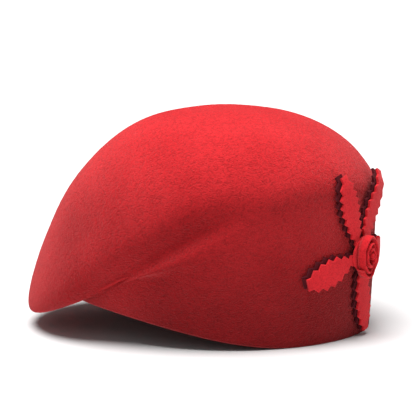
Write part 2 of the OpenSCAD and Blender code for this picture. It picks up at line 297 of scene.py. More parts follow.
def grid_faces(rows, columns, wrap=True, start=0, flip=False):
    faces = []
    for i in range(rows - 1):
        for j in range(columns if wrap else columns - 1):
            p, q = start + i * columns + j, start + i * columns + (j + 1) % columns
            quad = (p, q, q + columns, p + columns)
            faces.append(quad[::-1] if flip else quad)
    return faces


def carry(piece, name, values):
    layer = piece.data.attributes.new(name, "FLOAT", "POINT")
    layer.data.foreach_set("value", np.asarray(values, dtype=np.float32).ravel())


def ripple(points, size, seed):
    """Smooth random numbers from -1 to 1 at points, with bumps about size across."""
    shift = Vector((seed * 7.1, seed * 3.7, seed * 5.3))
    return np.array([noise.noise(Vector(p) / size + shift) for p in points])


print("helpers ready")

# %% [markdown]
# ## Napped felt
# Wool felt is a mat of short fibres. From close by it shows three things: soft blotches of
# tone where the wool took the dye differently, short dark flecks where the nap parts, and a
# very fine grain. Hair particles could show the fibres, but they are far too heavy for a whole
# hat, so noise at three sizes gives all this in the finish. Shade is also painted into the
# colour: deepest on the band toward the rim, some low on the crown and inside, none on the top.
# Two numbers carried on the mesh say how much nap and how much painted shade each place has,
# and a little sheen stands for the fibre tips that catch light at a glancing angle.

# %% Node helpers
def start_material(name, rough, specular, sheen, sheen_rough, sheen_tint):
    material = bpy.data.materials.new(name)
    material.use_nodes = True
    shader = material.node_tree.nodes["Principled BSDF"]
    shader.inputs["Roughness"].default_value = rough
    shader.inputs["Specular IOR Level"].default_value = specular
    shader.inputs["Sheen Weight"].default_value = sheen
    shader.inputs["Sheen Roughness"].default_value = sheen_rough
    shader.inputs["Sheen Tint"].default_value = (*sheen_tint, 1)
    return material, material.node_tree.nodes, material.node_tree.links, shader


def noise_node(nodes, links, place, scale, detail=2.0, rough=0.5, bend=0.0, stretch=None):
    texture = nodes.new("ShaderNodeTexNoise")
    texture.inputs["Scale"].default_value = scale
    texture.inputs["Detail"].default_value = detail
    texture.inputs["Roughness"].default_value = rough
    texture.inputs["Distortion"].default_value = bend
    if stretch:
        mapping = nodes.new("ShaderNodeMapping")
        mapping.inputs["Scale"].default_value = stretch
        mapping.inputs["Rotation"].default_value = (0.4, 0.7, 0.2)
        links.new(place, mapping.inputs["Vector"])
        place = mapping.outputs["Vector"]
    links.new(place, texture.inputs["Vector"])
    return texture.outputs["Fac"]


def remap(nodes, links, value, low, high, to_low=0.0, to_high=1.0):
    node = nodes.new("ShaderNodeMapRange")
    node.inputs["From Min"].default_value = low
    node.inputs["From Max"].default_value = high
    node.inputs["To Min"].default_value = to_low
    node.inputs["To Max"].default_value = to_high
    links.new(value, node.inputs["Value"])
    return node.outputs["Result"]


def blend_colour(nodes, links, factor, first, second, kind="MIX"):
    node = nodes.new("ShaderNodeMix")
    node.data_type = "RGBA"
    node.blend_type = kind
    links.new(factor, node.inputs["Factor"])
    for socket, colour in (("A", first), ("B", second)):
        slot = [s for s in node.inputs if s.name == socket and s.type == "RGBA"][0]
        if isinstance(colour, tuple):
            slot.default_value = (*colour, 1)
        else:
            links.new(colour, slot)
    return [s for s in node.outputs if s.type == "RGBA"][0]


def times(nodes, links, first, second, operation="MULTIPLY"):
    node = nodes.new("ShaderNodeMath")
    node.operation = operation
    for i, value in enumerate((first, second)):
        if isinstance(value, (int, float)):
            node.inputs[i].default_value = value
        else:
            links.new(value, node.inputs[i])
    return node.outputs["Value"]


def bump(nodes, links, height, strength, distance, under=None):
    node = nodes.new("ShaderNodeBump")
    node.inputs["Strength"].default_value = strength
    node.inputs["Distance"].default_value = distance
    links.new(height, node.inputs["Height"])
    if under:
        links.new(under, node.inputs["Normal"])
    return node.outputs["Normal"]


def carried(nodes, name):
    node = nodes.new("ShaderNodeAttribute")
    node.attribute_name = name
    return node.outputs["Fac"]


print("node helpers ready")

# %% The felt finishes
BLOTCH_SCALE, FINE_SCALE = 26, 1900
SHEEN_TINT = (1, 0.34, 0.34)
PAINTED_SHADE_TINT = (0.25, 0.20, 0.22)    # what full painted shade leaves of the colour
FLECK_SHADE, GRAIN_SHADE = 0.32, 0.6


def fleck_pattern(nodes, links, place):
    """Short curls that lie two ways, each a noise stretched along its own direction."""
    one_way = noise_node(nodes, links, place, 620, 2, 0.55, 1.6, (1, 0.5, 1))
    other_way = noise_node(nodes, links, place, 700, 2, 0.55, 1.4, (0.5, 1, 1))
    return times(nodes, links, times(nodes, links, one_way, other_way, "ADD"), 0.5)


def felt_finish(name, deep, bright, nap, sheen=0.3, coarse=1.0):
    """nap is how dark the flecks are; coarse is how deep the matted relief is."""
    material, nodes, links, shader = start_material(name, 0.92, 0.10, sheen, 0.45, SHEEN_TINT)
    place = nodes.new("ShaderNodeTexCoord").outputs["Object"]
    blotch = noise_node(nodes, links, place, BLOTCH_SCALE, 3)
    colour = blend_colour(nodes, links, remap(nodes, links, blotch, 0.3, 0.7), deep, bright)
    amount = carried(nodes, "nap")
    curls = fleck_pattern(nodes, links, place)
    flecks = times(nodes, links, remap(nodes, links, curls, 0.52, 0.40), amount)
    shade = times(nodes, links, flecks, nap)
    colour = blend_colour(nodes, links, shade, colour, tuple(FLECK_SHADE * c for c in deep))
    fine = noise_node(nodes, links, place, FINE_SCALE, 2, 0.7)
    grain = remap(nodes, links, fine, 0.35, 0.65, 0.0, 0.22)
    colour = blend_colour(nodes, links, grain, colour, tuple(GRAIN_SHADE * c for c in deep))
    # Painted shade: the carried share multiplies the colour darker toward the shade tint.
    painted_shade_mix = remap(nodes, links, carried(nodes, "painted_shade"), 0, 1)
    colour = blend_colour(nodes, links, painted_shade_mix, colour, PAINTED_SHADE_TINT, "MULTIPLY")
    links.new(colour, shader.inputs["Base Color"])
    links.new(remap(nodes, links, fine, 0.3, 0.7, 0.82, 1.0), shader.inputs["Roughness"])
    relief = times(nodes, links, curls, times(nodes, links, amount, 0.8))
    normal = bump(nodes, links, relief, 0.9 * coarse, 0.0028)
    normal = bump(nodes, links, fine, 0.35, 0.0004, normal)
    links.new(normal, shader.inputs["Normal"])
    return material


HAT_FELT = felt_finish("napped_red_felt", (0.67, 0.018, 0.024), (0.80, 0.029, 0.036), 0.44)
PETAL_FELT = felt_finish("smooth_red_felt", (0.66, 0.018, 0.026), (0.80, 0.025, 0.035), 0.5, 0.3, 0.5)
DARK_FELT = felt_finish("dark_felt", (0.075, 0.006, 0.010), (0.110, 0.010, 0.016), 0.5, 0.1, 0.6)
BACKING_FELT = felt_finish("stiff_backing_felt", (0.26, 0.010, 0.018), (0.32, 0.014, 0.022), 0.4)
print("felt finishes", [m.name for m in (HAT_FELT, PETAL_FELT, DARK_FELT, BACKING_FELT)])

# %% [markdown]
# ## The felt shell
# The hatter pulls one cone of felt over the block, so crown, fold, side and rim are a single
# piece with no seam. It is made here as one closed sheet: the outside from the rim up to
# the top, a rounded cut edge round the rim, and the inside at felt's thickness. The
# block is smooth but the felt is not, so the skin gets swells of a third of a millimetre
# from steaming and a small mat of nap, both as real bumps, with the finer fibres
# left to the finish. Blocked felt is stiff and doesn't drape, so no cloth simulation is used.

# %% Where the nap stands up and where shade is painted
CREASE_V = 4.75   # the height value of the crease between band and crown


def nap_amount(v, a):
    """Nearly even; the last tenth stands up low on the crown, less on its top."""
    v = v + 0 * np.asarray(a, float)
    fading = smooth((along(a) - 0.5) / 0.35)
    crown = smooth((v - CREASE_V + 1.2 * fading) / (0.5 + 2.2 * fading))
    crown = crown * (1 - 0.5 * smooth((v - 7.2) / 2.0))
    return 0.9 + 0.1 * crown


def painted_shade_amount(v, a, z):
    """Painted shade: most on the band toward the rim, some low on the crown, none on top."""
    band = 1 - smooth((v - 3.7 - 0.8 * smooth((along(a) - 0.5) / 0.3)) / 1.1)
    toward_rim = 0.56 + 0.29 * smooth((80 - z) / 70)
    off_peak = 0.6 + 0.4 * smooth((along(a) - 0.1) / 0.25)
    beside_peak = 0.5 + 0.5 * smooth(along(a) / 0.12)
    crown = 0.58 * beside_peak * (1 - band) * smooth((142 - z) / 72)
    return band * toward_rim * off_peak + crown


print("nap at band, fold, crown side, top:", nap_amount(np.array([2, 5, 6.5, 9.5]), 0).round(2))

# %% Mesh of the shell
AROUND, ROWS_OUT, ROWS_IN, EDGE_ROWS = 520, 210, 90, 7
EDGE_V = 0.05                       # the walls start here and the rounded edge closes the rim
INSIDE_NAP, EDGE_NAP = 0.35, 0.5
INSIDE_V = 3.0                      # the inside gets the band's painted shade throughout
SWELL_SIZE, SWELL_DEEP = 26, 0.33
MAT_SIZE, MAT_DEEP = 2.4, 0.13
shell_angles = np.arange(AROUND) * 360 / AROUND


def even_rows(count, depth):
    """Height values spaced evenly along the wall, not evenly in v."""
    v = np.linspace(EDGE_V, TOP - 0.02, 1200)
    path = skin(v, 90.0 * np.ones_like(v), depth)
    far = np.concatenate([[0], np.cumsum(np.linalg.norm(np.diff(path, axis=0), axis=1))])
    return np.interp(np.linspace(0, far[-1], count), far, v)


def cut_edge():
    """Rows of the rounded rim, from the inside to the outside."""
    rim_v = np.full(AROUND, EDGE_V)
    middle = skin(rim_v, shell_angles, FELT / 2)
    out = skin_out(rim_v, shell_angles, FELT / 2)
    down = unit(middle - skin(rim_v + 0.1, shell_angles, FELT / 2))
    turns = [math.pi * k / EDGE_ROWS for k in range(1, EDGE_ROWS)]
    return [middle + FELT / 2 * (-math.cos(t) * out + 0.9 * math.sin(t) * down) for t in turns]


def felt_relief(points, outside, naps):
    """How far each point stands off the smooth block: broad swells and the matted nap."""
    swell = np.where(outside, 1.0, 0.3) * SWELL_DEEP * ripple(points, SWELL_SIZE, 3)
    mat = np.where(outside, naps * MAT_DEEP, 0.03) * ripple(points, MAT_SIZE, 5)
    turn = np.degrees(np.arctan2(points[:, 1], points[:, 0]))
    off_rim = smooth((points[:, 2] - rim_height(turn)) / 6)
    return (swell + mat) * off_rim


def felt_shell():
    inside_v = even_rows(ROWS_IN, FELT)[::-1]
    outside_v = even_rows(ROWS_OUT, 0.0)
    edge = cut_edge()
    rows = [skin(np.full(AROUND, v), shell_angles, FELT) for v in inside_v] + edge
    rows += [skin(np.full(AROUND, v), shell_angles) for v in outside_v]
    naps = [np.full(AROUND, INSIDE_NAP)] * ROWS_IN + [np.full(AROUND, EDGE_NAP)] * len(edge)
    naps = np.concatenate(naps + [nap_amount(v, shell_angles) for v in outside_v])
    points = np.concatenate(rows)
    outside = np.arange(len(points)) >= (ROWS_IN + len(edge)) * AROUND
    outward = np.concatenate([-skin_out(v, shell_angles, FELT) for v in inside_v]
                             + [0 * row for row in edge]
                             + [skin_out(v, shell_angles) for v in outside_v])
    points = points + outward * felt_relief(points, outside, naps)[:, None]
    points = np.concatenate([points, [skin(TOP, 0.0, FELT), skin(TOP, 0.0)]])
    points[:, 2] = np.maximum(points[:, 2], 0.0)
    faces = grid_faces(len(rows), AROUND)
    last = (len(rows) - 1) * AROUND
    top_inside, top_outside = len(points) - 2, len(points) - 1
    for j in range(AROUND):
        k = (j + 1) % AROUND
        faces.append((k, j, top_inside))
        faces.append((last + j, last + k, top_outside))
    piece = make_piece("felt_shell", points, faces, HAT_FELT, ["felt_body"])
    carry(piece, "nap", np.concatenate([naps, [0.4, 0.5]]))
    heights = np.concatenate([np.full((ROWS_IN + len(edge)) * AROUND, INSIDE_V),
                              np.repeat(outside_v, AROUND), [TOP, TOP]])
    turns = np.concatenate([np.tile(shell_angles, len(rows)), [0, 0]])
    # Painted shade carried on the shell: deepest on the band toward the rim, none on the top.
    carry(piece, "painted_shade", painted_shade_amount(heights, turns, points[:, 2]))
    return piece


shell = felt_shell()
print("felt shell", len(shell.data.vertices), "points,", tuple((shell.dimensions * 1000)[:]), "mm")

# %% [markdown]
# ## The ribbon sweatband
# Inside the rim a grosgrain ribbon takes the wear of the head. Grosgrain is woven with thick
# crosswise threads, so it shows fine upright ribs and a firm edge. It was cut as a straight
# strip and stretched round the opening. A cloth simulation would only pull it flat, because
# its stitches hold it all round, so it is laid directly: a sheet of the ribbon's own length
# and width on the skin just inside the felt, with small puckers between the stitches.

# %% Ribbon and thread finishes
def ribbon_finish(name, deep, bright, rib=0.0008):
    material, nodes, links, shader = start_material(name, 0.62, 0.3, 0.25, 0.4, (1, 0.5, 0.5))
    place = nodes.new("ShaderNodeTexCoord").outputs["Object"]
    turn = times(nodes, links, carried(nodes, "run"), 2 * math.pi / rib)
    ridge = remap(nodes, links, times(nodes, links, turn, 0.0, "SINE"), -1, 1)
    tone = noise_node(nodes, links, place, 60, 3)
    colour = blend_colour(nodes, links, remap(nodes, links, tone, 0.3, 0.7), deep, bright)
    # Painted shade: the colour darkens in the valleys between the ribs.
    painted_valley_shade = remap(nodes, links, ridge, 0.0, 1.0, 0.45, 0.0)
    colour = blend_colour(nodes, links, painted_valley_shade, colour, tuple(0.4 * c for c in deep))
    links.new(colour, shader.inputs["Base Color"])
    fibre = noise_node(nodes, links, place, 2600, 2, 0.6)
    links.new(remap(nodes, links, fibre, 0.3, 0.7, 0.5, 0.75), shader.inputs["Roughness"])
    normal = bump(nodes, links, ridge, 0.7, 0.0004)
    links.new(bump(nodes, links, fibre, 0.3, 0.0002, normal), shader.inputs["Normal"])
    return material


RIBBON = ribbon_finish("grosgrain_ribbon", (0.20, 0.007, 0.014), (0.27, 0.011, 0.019))
THREAD = ribbon_finish("twisted_thread", (0.16, 0.006, 0.011), (0.22, 0.010, 0.016), 0.0009)
print("finishes", RIBBON.name, THREAD.name)

# %% The ribbon
RIBBON_WIDE, RIBBON_UP, RIBBON_THICK, RIBBON_GAP = 15, 1.6, 0.6, 0.45
RIBBON_ROWS, RIBBON_COLUMNS, PUCKER = 9, 720, 0.25
STITCHES = 48


def closed_shell(inner_rows, outer_rows):
    """A thin closed band from two sets of rows, both counted from low to high."""
    rows = list(outer_rows) + list(inner_rows[::-1])
    columns = len(rows[0])
    faces = grid_faces(len(rows), columns, flip=True)
    last = (len(rows) - 1) * columns
    for j in range(columns):
        k = (j + 1) % columns
        faces.append((j, k, last + k, last + j))
    return np.concatenate(rows), faces


def ribbon_rows(depth, angles, heights, pucker):
    rows = []
    for h in heights:
        edge = 1 - abs(2 * h - 1)
        sway = pucker * (1 - edge) * 0.5 * (1 - np.cos(np.radians(angles * STITCHES)))
        z = rim_height(angles) + RIBBON_UP + h * RIBBON_WIDE
        deep = depth + sway + 0.1 * np.sin(math.pi * h)
        rows.append(skin(v_at(z, angles, depth), angles, deep))
    return rows


def sweatband_ribbon():
    angles = np.arange(RIBBON_COLUMNS) * 360 / RIBBON_COLUMNS
    heights = np.linspace(0, 1, RIBBON_ROWS)
    outer = ribbon_rows(FELT + RIBBON_GAP, angles, heights, PUCKER)
    inner = ribbon_rows(FELT + RIBBON_GAP + RIBBON_THICK, angles, heights, PUCKER)
    points, faces = closed_shell(inner, outer)
    piece = make_piece("ribbon_sweatband", points, faces, RIBBON, ["sweatband"])
    middle = inner[RIBBON_ROWS // 2]
    steps = np.linalg.norm(np.roll(middle, -1, 0) - middle, axis=1) / 1000
    run = np.concatenate([[0], np.cumsum(steps)[:-1]])
    carry(piece, "run", np.tile(run, 2 * RIBBON_ROWS))
    return piece, float(steps.sum())


ribbon, ribbon_length = sweatband_ribbon()
print("ribbon cut", round(ribbon_length, 3), "m long and", RIBBON_WIDE, "mm wide")

# %% [markdown]
# ## Sewing thread
# Each stitch is a short run of two-ply thread that dips into the ribbon at both ends. A curve
# with a round bevel would be quicker but plain; a tube whose oval section turns along its run
# shows the twist of the plies. The same helper makes the star of stitches that holds the
# flower from inside.

# %% Stitches along the ribbon
STITCH_LONG, STITCH_UP, THREAD_WIDE = 4, 1.8, 0.6
STITCH_POINTS, THREAD_SIDES, STITCH_RISE = 11, 8, 0.55
THREAD_OFF = 0.05                    # the thread clears the cloth by this much


def thread_tube(points, radius, sides=THREAD_SIDES):
    """A tube along points that narrows where it dives into the cloth; returns points, faces."""
    points = np.asarray(points, float)
    count = len(points)
    ahead = unit(np.gradient(points, axis=0))
    side = unit(np.cross(ahead, [0.13, 0.21, 1.0]))
    up = np.cross(side, ahead)
    rings = []
    for i in range(count):
        t = i / (count - 1)
        plump = radius * (0.55 + 0.45 * math.sin(math.pi * t) ** 0.5)
        turn = np.linspace(0, 2 * math.pi, sides, endpoint=False) + 2.4 * t
        oval = plump * (1 + 0.18 * np.cos(2 * turn - 4.8 * t))
        rings.append(points[i] + oval[:, None] * (
            np.cos(turn)[:, None] * side[i] + np.sin(turn)[:, None] * up[i]))
    faces = grid_faces(count, sides)
    faces.append(tuple(range(sides))[::-1])
    faces.append(tuple((count - 1) * sides + k for k in range(sides)))
    return np.concatenate(rings), faces


def join_parts(parts):
    points, faces, start = [], [], 0
    for part_points, part_faces in parts:
        points.append(part_points)
        faces += [tuple(start + i for i in face) for face in part_faces]
        start += len(part_points)
    return np.concatenate(points), faces


def stitch_lift():
    """How a stitch rises from the cloth, lies on it and dives again."""
    return STITCH_RISE * np.sin(np.linspace(0, math.pi, STITCH_POINTS)) ** 0.6


def sewn_run(centre, half, depth_low):
    """One stitch along the rim."""
    a = centre + half * np.linspace(-1, 1, STITCH_POINTS)
    z = rim_height(a) + RIBBON_UP + STITCH_UP
    return skin(v_at(z, a, depth_low), a, depth_low + stitch_lift())


def ribbon_stitches():
    half = math.degrees(STITCH_LONG / 2 / HALF_LONG)
    on_ribbon = FELT + RIBBON_GAP + RIBBON_THICK + THREAD_OFF
    parts = []
    for i in range(STITCHES):
        middle = 360 * (i + 0.5) / STITCHES
        parts.append(thread_tube(sewn_run(middle, half, on_ribbon), THREAD_WIDE / 2))
    points, faces = join_parts(parts)
    piece = make_piece("ribbon_stitches", points, faces, THREAD, ["sweatband_stitches"])
    run = np.linspace(0, STITCH_LONG / 1000, STITCH_POINTS)
    carry(piece, "run", np.tile(np.repeat(run, THREAD_SIDES), STITCHES))
    return piece


stitches = ribbon_stitches()
print("stitches", STITCHES, "of", STITCH_LONG, "mm")

# %% [markdown]
# ## The flat bow
# A small flat bow hides the join of the ribbon at the back. Real tape makes each half as a
# loop: out along the ribbon, round a soft end, and back, pinched in at the knot. A bent
# rectangle would do from afar, but a loop shows its open middle at the edges, so each half
# here is a flattened loop of thin tape, and the knot is a short length wrapped round them.

# %% Bow loops and knot
BOW_LONG, BOW_WIDE, BOW_THICK, KNOT_LONG = 30, 8, 2.2, 6
BOW_UP = RIBBON_UP + 3.2 + BOW_WIDE / 2
KNOT_TUCK, KNOT_PROUD = 0.2, 0.8     # the wrap passes behind the loops and stands over them
PINCH_RUN = 5                        # the tape opens from its pinch over this length
LOOP_FROM = KNOT_LONG / 2 + 0.6
bow_base = float(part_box("bow_knot")[1][0]) * 1000 - KNOT_TUCK


def on_bow(points):
    """Bow points are along the ribbon, up it, and out from it, toward the head."""
    points = np.asarray(points, float)
    return np.stack([bow_base - points[:, 2], -points[:, 0], BOW_UP + points[:, 1]], axis=-1)


def opened(x, pinched):
    """Share of full size along the tape: pinched at the knot, 1 further out."""
    return pinched + (1 - pinched) * smooth((x - KNOT_LONG / 2) / PINCH_RUN)


def loop_outline(steps):
    """The loop from its edge: distance from the knot's middle, height over the loop's middle."""
    turn = 2 * math.pi * np.arange(steps) / steps
    x = (BOW_LONG / 2 + LOOP_FROM) / 2 + (BOW_LONG / 2 - LOOP_FROM) / 2 * np.cos(turn)
    return np.stack([x, opened(x, 0.35) * (BOW_THICK / 2 - 0.02) * np.sin(turn)], axis=-1)


def bow_loop_mesh(side):
    columns, steps = 13, 30
    outline = loop_outline(steps)
    middle = outline.mean(axis=0)
    inner = middle + (outline - middle) * np.array([0.93, 0.5])
    rows = []
    for line in (outline, inner):
        for c in np.linspace(-1, 1, columns):
            wide = BOW_WIDE / 2 * opened(line[:, 0], 0.55)
            dip = 0.06 * np.cos(3 * math.pi * c) * smooth((8 - line[:, 0]) / PINCH_RUN)
            height = BOW_THICK / 2 + line[:, 1] + dip
            rows.append(np.stack([side * line[:, 0], wide * c, height], axis=-1))
    rows = rows[:columns] + rows[columns:][::-1]
    faces = grid_faces(2 * columns, steps, flip=side > 0)
    last = (2 * columns - 1) * steps
    for j in range(steps):
        quad = (j, (j + 1) % steps, last + (j + 1) % steps, last + j)
        faces.append(quad if side > 0 else quad[::-1])
    return np.concatenate(rows), faces


def squared(wave):
    """A sine or cosine pushed out toward the corners of a box."""
    return np.sign(wave) * np.abs(wave) ** 0.45


def knot_mesh():
    columns, steps = 15, 28
    turn = np.linspace(0, 2 * math.pi, steps, endpoint=False)
    wide = BOW_WIDE * 0.4 * squared(np.sin(turn))
    thick = (BOW_THICK + KNOT_PROUD) / 2 * squared(np.cos(turn))
    rows = []
    for c in np.linspace(-1, 1, columns):
        pinch = 1 - 0.10 * c * c + 0.05 * math.cos(5 * c)
        height = BOW_THICK / 2 + KNOT_TUCK + thick * pinch * 0.95
        place = np.full(steps, c * KNOT_LONG / 2 * 0.96)
        rows.append(np.stack([place, wide * pinch, height], axis=-1))
    faces = grid_faces(columns, steps, flip=True)
    faces.append(tuple(range(steps)))
    faces.append(tuple((columns - 1) * steps + k for k in range(steps))[::-1])
    return np.concatenate(rows), faces


def sew_on_bow():
    pieces = []
    for name, node, (points, faces) in (
            ("bow_loop_left_tape", "bow_loop_left", bow_loop_mesh(-1)),
            ("bow_loop_right_tape", "bow_loop_right", bow_loop_mesh(1)),
            ("bow_knot_wrap", "bow_knot", knot_mesh())):
        piece = make_piece(name, on_bow(points), faces, RIBBON, [node])
        across = points[:, 0] if node != "bow_knot" else points[:, 1]
        carry(piece, "run", across / 1000)
        pieces.append(piece)
    return pieces


bow = sew_on_bow()
print("bow pieces", [p.name for p in bow])

# %% [markdown]
# ## Paths over the felt
# The petals lie on a curved wall, so a straight petal on the bench is a curved path on the
# hat. A shrinkwrap modifier could press a flat petal onto the felt, but it stretches the cut
# edge. Instead each path starts at the flower's middle and is marched over the skin in short
# steps that keep the direction measured in the wall's own plane, where 0 points round the
# back, 90 up and 180 toward the peak. At any distance the path gives a point, the way out of
# the felt, the way ahead and the way across.

# %% Marching over the skin
FLOWER_AT, FLOWER_UP, PATH_STEP = -32.0, 56.0, 2.0
flower_v = float(v_at(FLOWER_UP, np.array(FLOWER_AT)))


def step_on(v, a, turn, step):
    """One step over the skin in direction turn: e and g are the skin's slopes in a and v."""
    e = skin(v, a + 0.5) - skin(v, a - 0.5)
    g = (skin(v + 0.02, a) - skin(v - 0.02, a)) / 0.04
    level = unit(e)
    out = unit(np.cross(level, g))
    turn = math.radians(turn)
    d = step * (level * math.cos(turn) + np.cross(out, level) * math.sin(turn))
    ee, eg, gg = e @ e, e @ g, g @ g
    det = ee * gg - eg * eg
    return v + ((d @ g) * ee - (d @ e) * eg) / det, a + ((d @ e) * gg - (d @ g) * eg) / det


def path_on(turn, length, start=None):
    """Readings (v, a) every PATH_STEP along direction turn, from the flower's middle."""
    spots = [start or (flower_v, FLOWER_AT)]
    for _ in range(int(math.ceil(length / PATH_STEP)) + 2):
        spots.append(step_on(*spots[-1], turn, PATH_STEP))
    return np.array(spots)


def frames_on(path, far):
    """Point, outward, ahead and across at each distance in far."""
    far = np.asarray(far, float)
    steps = np.arange(len(path)) * PATH_STEP
    v, a = np.interp(far, steps, path[:, 0]), np.interp(far, steps, path[:, 1])
    ahead_v = np.interp(far + 1, steps, path[:, 0])
    ahead_a = np.interp(far + 1, steps, path[:, 1])
    back_v = np.interp(np.maximum(far - 1, 0), steps, path[:, 0])
    back_a = np.interp(np.maximum(far - 1, 0), steps, path[:, 1])
    ahead = unit(skin(ahead_v, ahead_a) - skin(back_v, back_a))
    out = skin_out(v, a)
    return skin(v, a), out, ahead, np.cross(out, ahead)


print("flower middle", skin(flower_v, FLOWER_AT).round(1), "mm")

# %% [markdown]
# ## Pinked petals
# Each petal is two plies: a red one on top and a dark one against the hat, set a little up and
# toward the peak, so a row of dark teeth shows along that edge. The edges were cut with
# pinking shears, which leave even saw teeth. A displaced plane would blur them, so a petal is
# a strip of cross-sections whose half width follows a leaf shape, cut in at every tooth. Felt
# of this kind keeps a slight crown across it, and its tip lifts a little off the wall.

# %% The petal pattern
PETAL_LONG, PETAL_WIDE, PLY, UNDER_LOW = 54, 20, 1.6, 0.3
UPPER_LOW = UNDER_LOW + PLY + 0.3
UNDER_SHIFT, UNDER_TOWARD = 2.6, 150
TOOTH_PITCH, TOOTH_DEEP = 6, 2.6
ROOT, ROOT_START = 10.0, 1.6         # teeth start at ROOT, under the disc's edge
WEDGE = math.radians(23.8)           # half the angle between the two closest petals
CURL_FROM = 0.4
STATION_STEP = 0.9
ACROSS = np.array([-1, -0.93, -0.72, -0.45, -0.2, 0, 0.2, 0.45, 0.72, 0.93, 1])
# direction, lift of the tip, length share, width share
PETALS = [(285, 0.8, 1.01, 1), (357, 0, 0.85, 0.95), (66, 3.2, 1.05, 1), (114, 1.2, 1.02, 0.95),
          (197, 0.8, 0.88, 1.05)]


def leaf_half(r, long, wide):
    """Half width at distance r from the flower's middle, kept clear of the next petal."""
    t = r / long
    taper = np.clip(1 - (np.maximum(0, t - 0.35) / 0.65) ** 2.6, 0, 1)
    leaf = wide / 2 * np.minimum(1, 1.25 * t ** 0.45) * np.sqrt(taper)
    return np.minimum(leaf, r * math.tan(WEDGE) - 0.25 / math.cos(WEDGE))


def pinked_outline(long, wide):
    """Distance from the middle and half width at every corner of the cut edge."""
    teeth = round((long - ROOT) / TOOTH_PITCH)
    pitch = (long - ROOT) / teeth
    corners = [(r, float(leaf_half(r, long, wide))) for r in np.arange(ROOT_START, ROOT, 2)]
    for i in range(teeth):
        r = ROOT + (i + 0.15) * pitch
        notch = max(1.2, float(leaf_half(r, long, wide)) - TOOTH_DEEP)
        point = float(leaf_half(min(long - 1, r + 0.55 * pitch), long, wide))
        corners.append((r + 0.15 * pitch, notch))
        corners.append((r + 0.70 * pitch, point))
    return np.array(corners)


def petal_end(start, columns, flip):
    """Faces that close a petal's first or last cross-section."""
    faces = []
    for j in range(len(ACROSS) - 1):
        quad = (start + j, start + j + 1, start + columns - 2 - j, start + columns - 1 - j)
        faces.append(quad[::-1] if flip else quad)
    return faces


def petal_ply(number, low, start, name, node, material):
    turn, curl, long_share, wide_share = PETALS[number]
    long, wide = PETAL_LONG * long_share, PETAL_WIDE * wide_share
    corners = pinked_outline(long, wide)
    between = np.arange(ROOT_START, corners[-1, 0], STATION_STEP)
    far = np.unique(np.concatenate([corners[:, 0], between]))
    half = np.interp(far, corners[:, 0], corners[:, 1])
    point, out, ahead, across = frames_on(path_on(turn, long, start), far)
    lift = curl * (np.maximum(0, far / long - CURL_FROM) / (1 - CURL_FROM)) ** 1.5
    crown = 0.28 * (1 - ACROSS ** 2) * (1 if low > 1 else 0.2)
    soft = 0.12 * (np.abs(ACROSS) == 1)
    rows = []
    for i in range(len(far)):
        line = point[i] + out[i] * (low + lift[i]) + np.outer(ACROSS * half[i], across[i])
        rise = crown * min(1, half[i] / 6)
        top = line + np.outer(PLY + rise - soft, out[i])
        bottom = line + np.outer(soft + 0.5 * rise, out[i])
        rows.append(np.concatenate([top, bottom[::-1]]))
    points = np.concatenate(rows)
    columns = 2 * len(ACROSS)
    faces = grid_faces(len(rows), columns) + petal_end(0, columns, False)
    faces += petal_end((len(rows) - 1) * columns, columns, True)
    wobble = np.stack([ripple(points, 2.0, number + s) for s in (1, 2, 4)], axis=-1)
    piece = make_piece(name, points + 0.05 * wobble, faces, material, [node], flat=True)
    carry(piece, "nap", np.full(len(points), 0.6))
    return piece


under_start = tuple(float(x) for x in step_on(flower_v, FLOWER_AT, UNDER_TOWARD, UNDER_SHIFT))
petals = []
for i in range(len(PETALS)):
    petals.append(petal_ply(i, UNDER_LOW, under_start, f"petal_under_{i + 1}_dark_ply",
                            f"petal_under_{i + 1}", DARK_FELT))
    petals.append(petal_ply(i, UPPER_LOW, None, f"petal_upper_{i + 1}_red_ply",
                            f"petal_upper_{i + 1}", PETAL_FELT))
print("petal plies", len(petals), "longest", round(max(PETAL_LONG * p[2] for p in PETALS), 1), "mm")

# %% [markdown]
# ## The rolled rosette
# A long strip of felt, stood on edge and rolled up, makes the rosette: an outer roll of one
# and a half turns, an inner roll that stands a little higher, and a tight bud. Hand rolling
# leaves soft, rounded top edges that wander up and down, and the felt presses into an oval. A
# screw modifier would roll it too evenly, so each roll is a rounded bar swept along a spiral,
# with that wander built into its height. The disc under it covers the petals' roots.

# %% Where the rosette stands
DISC_WIDE, DISC_THICK, LAYER_GAP = 20, 1.0, 0.15
FLOWER_TOP = UPPER_LOW + PLY + LAYER_GAP
flower_middle = skin(flower_v, FLOWER_AT)
flower_out = skin_out(np.array(flower_v), np.array(FLOWER_AT))
swing = math.atan2(flower_out[1], flower_out[0])
lean = math.acos(flower_out[2])
to_hat = np.array(Matrix.Rotation(swing, 3, "Z") @ Matrix.Rotation(lean, 3, "Y")
                  @ Matrix.Rotation(math.pi / 2, 3, "Z"))
rosette_base = flower_middle + flower_out * (FLOWER_TOP + DISC_THICK + LAYER_GAP)
print("rosette stands at", rosette_base.round(1), "mm")

# %% The disc
DISC_RINGS, DISC_SLICES, DISC_SOFT = 9, 60, 0.2


